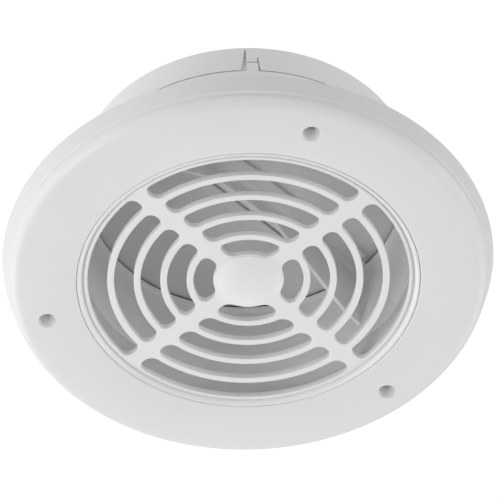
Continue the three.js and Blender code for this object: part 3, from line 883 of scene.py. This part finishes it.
LEAF_R = 69.6
LEAF_LOW_Z = 46.4
LEAF_THICK = 1.4
LEAF_INNER_Y = 3.7
KNUCKLE_R = 2.9
KNUCKLE_BORE_R = 1.5
ROD_R = 1.2
ROD_HALF = 70.4
RELIEF_Y = 7
STIFFENER_XS = (-42, -14, 14, 42)
STIFFENER_HALF = 0.6
STIFFENER_RISE = 0.9
STIFFENER_START_Y = 16
STIFFENER_END_R = 64
STRIP = (5.9, 12.2)  # the hinge strip's edges, from the hinge line
STRIP_Z = (43.0, 44.6)  # its low face, at the inner and the outer edge
STRIP_HALF = 64
SEAL_R = (68.6, 69.5)
SEAL_Z = (45.6, 46.15)
KNUCKLES = ((-64, -54), (-6, -0.5), (43, 53))  # each from and to, along the hinge line
BUSH_R = 2.42
BUSH_COLLAR_R = 3.3
BUSH_COLLAR_THICK = 0.6
CLIP_R = 2.8
CLIP_THICK = 0.5
SPRING_X = 28
COIL_R = 2.35
COIL_TURNS = 3
COIL_PITCH = 1.1
WIRE_R = 0.4
LEG_Y = 13


def leaf_outline():
    """The leaf in plan: a half disc with a relief beside each cradle."""
    relief_x = CRADLE_IN_X - 0.6
    start = math.degrees(math.asin(RELIEF_Y / LEAF_R))
    rim = arc((0, 0), LEAF_R, start, 180 - start, 120)
    inner = rounded([
        (-relief_x, RELIEF_Y, 0.8),
        (-relief_x, LEAF_INNER_Y, 0.8),
        (relief_x, LEAF_INNER_Y, 0.8),
        (relief_x, RELIEF_Y, 0.8),
        (rim[0].x, rim[0].y, 0),
        (rim[-1].x, rim[-1].y, 0),
    ])[:-2]
    return rim + inner


def hinge_strip():
    """The deep strip beside the hinge line, thicker at its inner edge."""
    top = LEAF_LOW_Z + 0.5
    section = rounded([
        (STRIP[0], STRIP_Z[0], 0.25),
        (STRIP[1], STRIP_Z[1], 0.3),
        (STRIP[1], top, 0.1),
        (STRIP[0], top, 0.1),
    ], 3)
    strip = slab("strip", section, -STRIP_HALF, STRIP_HALF, 0.25)
    lay_along_x = Matrix(((0, 0, 1, 0), (1, 0, 0, 0), (0, 1, 0, 0), (0, 0, 0, 1)))
    return moved(strip, lay_along_x)


def leaf():
    """One leaf on the +Y side of the hinge line, with hinge strip, knuckles and stiffeners."""
    top = LEAF_LOW_Z + LEAF_THICK
    body = slab("leaf", leaf_outline(), LEAF_LOW_Z, top, 0.3)
    join(body, hinge_strip())
    for start, end in KNUCKLES:
        tongue = block("tongue", (start, 0, LEAF_LOW_Z), (end, LEAF_INNER_Y + 1, top), 0.2)
        join(body, plain_barrel("knuckle", KNUCKLE_R, start, end, 0.3), tongue)
    for x in STIFFENER_XS:
        low = (x - STIFFENER_HALF, STIFFENER_START_Y, top - 0.5)
        high = (x + STIFFENER_HALF, math.sqrt(STIFFENER_END_R**2 - x * x), top + STIFFENER_RISE)
        join(body, block("stiffener", low, high, 0.2))
    return cut(body, plain_barrel("bore", KNUCKLE_BORE_R, -LEAF_R, LEAF_R))


def leaf_seal():
    """The foam strip under a leaf's curved edge."""
    reach = 90 - math.degrees(math.asin((RELIEF_Y + 0.6) / SEAL_R[0]))
    outline = arc((0, 0), SEAL_R[1], 90 - reach, 90 + reach, 120)
    outline += arc((0, 0), SEAL_R[0], 90 + reach, 90 - reach, 120)
    return slab("seal", outline, *SEAL_Z, 0.15)


def rod():
    return plain_barrel("rod", ROD_R, -ROD_HALF, ROD_HALF, 0.3, 5)


def bush():
    """A bush in a cradle, with a collar on its inner side."""
    start = CRADLE_IN_X - 0.8
    step, end = start + BUSH_COLLAR_THICK, CRADLE_OUT_X - 0.2
    return barrel("bush", rounded([
        (start, KNUCKLE_BORE_R, 0.15),
        (start, BUSH_COLLAR_R, 0.15),
        (step, BUSH_COLLAR_R, 0.15),
        (step, BUSH_R, 0),
        (end, BUSH_R, 0.25),
        (end, KNUCKLE_BORE_R, 0.15),
    ]))


def clip():
    """A flat open ring on the rod, beside the bush."""
    start = CRADLE_IN_X - 1.6
    end = start + CLIP_THICK
    ring = barrel("clip", rounded([
        (start, KNUCKLE_BORE_R, 0.1),
        (start, CLIP_R, 0.1),
        (end, CLIP_R, 0.1),
        (end, KNUCKLE_BORE_R, 0.1),
    ], 2))
    return cut(ring, block("mouth", (start - 1, -1, ROD_Z), (start + 2, 1, ROD_Z + 4), 0))


def coil():
    """The turns of a spring round the rod."""
    length = COIL_TURNS * COIL_PITCH
    steps = COIL_TURNS * 32
    path = []
    for k in range(steps + 1):
        a = 2 * math.pi * COIL_TURNS * k / steps
        x = SPRING_X - length / 2 + length * k / steps
        path.append((x, -COIL_R * math.sin(a), ROD_Z + COIL_R * math.cos(a)))
    return tube("coil", path, WIRE_R)


def spring_leg(side):
    """A spring's leg, from the top of the coil down to the leaf on that side."""
    x = SPRING_X - side * COIL_TURNS * COIL_PITCH / 2
    top = ROD_Z + COIL_R
    rest = LEAF_LOW_Z + LEAF_THICK + WIRE_R + GAP
    line = [Vector((0, top)), Vector((1.6, top - 0.15))]
    line += curve_through((2.6, top - 0.45), (8, rest + 0.2), (LEG_Y, rest), 14)
    return tube("leg", [(x, side * y, z) for y, z in line], WIRE_R)


def fitted(spin, obj, name, *rest):
    """The piece turned to its place on the hinge line, and finished."""
    return finished(turned(obj, spin), name, *rest)


def shutter_side(side, other, end, spin):
    """One leaf and its seal, and the bush, clip and spring at one end of the rod."""
    own, opposite = f"{side}_shutter", f"{other}_shutter"
    fitted(spin, leaf(), f"{side}_leaf_moulding", leaf_white, own, "leaf_white", f"{side}_leaf")
    # The seal's near-black foam is painted shade along the leaf's edge.
    fitted(spin, leaf_seal(), f"{side}_seal_strip", painted_shade_foam, own, "foam", f"{side}_leaf_seal")
    fitted(spin, bush(), f"{end}_bush", bush_plastic, "housing", "bush_plastic", f"{end}_rod_bush")
    fitted(spin, clip(), f"{end}_clip", bright_steel, "housing", "bright_steel", f"{end}_rod_clip")
    fitted(spin, coil(), f"{end}_spring_coil", bright_steel, "housing", "bright_steel", f"{end}_leaf_spring")
    fitted(spin, spring_leg(1), f"{end}_spring_leg_{side}", bright_steel, own, "bright_steel")
    fitted(spin, spring_leg(-1), f"{end}_spring_leg_{other}", bright_steel, opposite, "bright_steel")


fitted(HINGE_TURN, rod(), "hinge_pin", bright_steel, "housing", "bright_steel", "hinge_rod")
shutter_side("left", "right", "far", HINGE_TURN)
shutter_side("right", "left", "near", HINGE_TURN + 180)

# ---------------------------------------------------------------- small parts

THREAD_LENGTH = 6.6
THREAD_PITCH = 0.75
THREAD_TURNS = 6
THREAD_CORE_R = 1.1
THREAD_R = 1.4
HEAD_R = 2.8
HEAD_RISE = 1.5
RECESS_HALF = 1.35
RECESS_HALF_WIDTH = 0.28
FOAM_IN_R = 95


def pan_screw():
    """A pan-head screw with a cross recess and a thread."""
    head_low = FOOT_TOP_Z + GAP
    tip = head_low - THREAD_LENGTH
    outline = [Vector((0, tip)), Vector((0.84, tip)), Vector((THREAD_CORE_R, tip + 0.9))]
    for k in range(THREAD_TURNS):
        z = tip + 1 + THREAD_PITCH * k
        ridge = ((THREAD_CORE_R, 0), (THREAD_R, 0.42), (THREAD_CORE_R, 0.8))
        outline += [Vector((r, z + THREAD_PITCH * share)) for r, share in ridge]
    outline += [Vector((1.15, head_low - 0.05))]
    outline += rounded([
        (1.3, head_low, 0),
        (HEAD_R, head_low, 0.15),
        (HEAD_R, head_low + 0.8, 0.6),
        (1.9, head_low + HEAD_RISE, 0.6),
        (0, head_low + HEAD_RISE, 0),
    ])
    screw = post("screw", outline)
    low = (-RECESS_HALF, -RECESS_HALF_WIDTH, head_low + 0.55)
    high = (RECESS_HALF, RECESS_HALF_WIDTH, head_low + 3)
    for turn in (45, 135):
        cut(screw, turned(block("recess", low, high, 0), turn))
    return screw


for number, azimuth in enumerate(SCREW_AZIMUTHS, 1):
    screw = out_at(pan_screw(), SCREW_CIRCLE_R, azimuth)
    node = f"spigot_screw_{number}"
    finished(screw, f"pan_screw_{number}", zinc_steel, "housing", "zinc_steel", node)


def foam_ring():
    """The foam between the flange's back and the ceiling."""
    outline = rounded([
        (FOAM_IN_R, FACE_BACK_Z + 0.6, 0.3),
        (FACE_EDGE[0] - 2, FACE_BACK_Z + 0.7, 0.3),
        (CREASE[0] - RIM_WALL - 0.5, CREASE[1] + 0.6, 0.4),
        (FLANGE_R - RIM_WALL - 0.6, -0.2, 0.6),
        (FOAM_IN_R, -0.2, 0.6),
    ])
    return finished(revolve("foam", outline), "foam_ring", pale_foam, "housing", "foam", "ceiling_seal")


foam_ring()

# ---------------------------------------------------------------- setting

# Lengths in this part are in metres.
FLOOR_Z = -4.2
FLOOR_HALF = 60
LIGHT_DISTANCE = 2.0
LIGHT_SIZE = 0.9
LIGHTS = (  # name, azimuth, elevation, watts
    ("left_front", -90, -15, 4.0),
    ("left_low", -90, -44, 11.5),
    ("left_back", -135, -15, 7.0),
    ("front_low", 0, -18, 4.0),
    ("right_low", 90, -14, 9.5),
    ("right_back", 135, -15, 6.4),
    ("back", 180, -15, 1.7),
)
ROOM_GAIN = 0.44
LEFT_GAIN = 0.668
BACKDROP_GAIN = 0.6
BACKDROP_EDGE = (0.8, 0.97)  # the cosines between which the backdrop fades in
BEHIND = Vector((0.04, 0.677, 0.735))  # the way the camera looks


def floor():
    data = bpy.data.meshes.new("floor")
    h = FLOOR_HALF
    corners = [(-h, -h, FLOOR_Z), (h, -h, FLOOR_Z), (h, h, FLOOR_Z), (-h, h, FLOOR_Z)]
    data.from_pydata(corners, [], [(0, 1, 2, 3)])
    obj = bpy.data.objects.new("floor", data)
    bpy.context.scene.collection.objects.link(obj)
    material, tree, shader = material_base("floor_paint", (0.86, 0.86, 0.86), 0.9)
    tint(tree, shader, noise(tree, 3), (0.85, 0.85, 0.85), (0.87, 0.87, 0.87))
    data.materials.append(material)


def soft_light(name, azimuth, elevation, power):
    """A round area light that faces the object. A negative elevation is below the horizon."""
    a, e = math.radians(azimuth), math.radians(elevation)
    way = Vector((math.cos(e) * math.sin(a), -math.cos(e) * math.cos(a), math.sin(e)))
    data = bpy.data.lights.new(name, "AREA")
    data.shape = "DISK"
    data.size = LIGHT_SIZE
    data.energy = power
    obj = bpy.data.objects.new(name, data)
    obj.location = way * LIGHT_DISTANCE
    obj.rotation_euler = way.to_track_quat("Z", "Y").to_euler()
    bpy.context.scene.collection.objects.link(obj)


floor()
for light in LIGHTS:
    soft_light(*light)


def white_room():
    """A white room that is brightest behind the object, as seen from the camera, and on its left."""
    world = bpy.data.worlds.new("white_room")
    world.use_nodes = True
    tree = world.node_tree
    background = tree.nodes["Background"]
    background.inputs["Color"].default_value = (1, 1, 1, 1)
    place = tree.nodes.new("ShaderNodeTexCoord")

    def facing(way):
        dot = tree.nodes.new("ShaderNodeVectorMath")
        dot.operation = "DOT_PRODUCT"
        dot.inputs[1].default_value = way
        tree.links.new(place.outputs["Generated"], dot.inputs[0])
        return dot.outputs["Value"]

    def math_node(operation, first, second):
        node = tree.nodes.new("ShaderNodeMath")
        node.operation = operation
        for socket, value in zip(node.inputs, (first, second)):
            if isinstance(value, (int, float)):
                socket.default_value = value
            else:
                tree.links.new(value, socket)
        return node.outputs["Value"]

    behind = tree.nodes.new("ShaderNodeMapRange")
    behind.interpolation_type = "SMOOTHSTEP"
    behind.inputs["From Min"].default_value = BACKDROP_EDGE[0]
    behind.inputs["From Max"].default_value = BACKDROP_EDGE[1]
    behind.inputs["To Max"].default_value = BACKDROP_GAIN
    tree.links.new(facing(BEHIND), behind.inputs["Value"])
    left = math_node("MAXIMUM", facing(Vector((-1, 0, 0))), 0)
    left = math_node("MULTIPLY", math_node("POWER", left, 2), LEFT_GAIN)
    total = math_node("ADD", math_node("ADD", left, behind.outputs["Result"]), ROOM_GAIN)
    tree.links.new(total, background.inputs["Strength"])
    bpy.context.scene.world = world


white_room()
bpy.context.scene.view_settings.view_transform = "Standard"
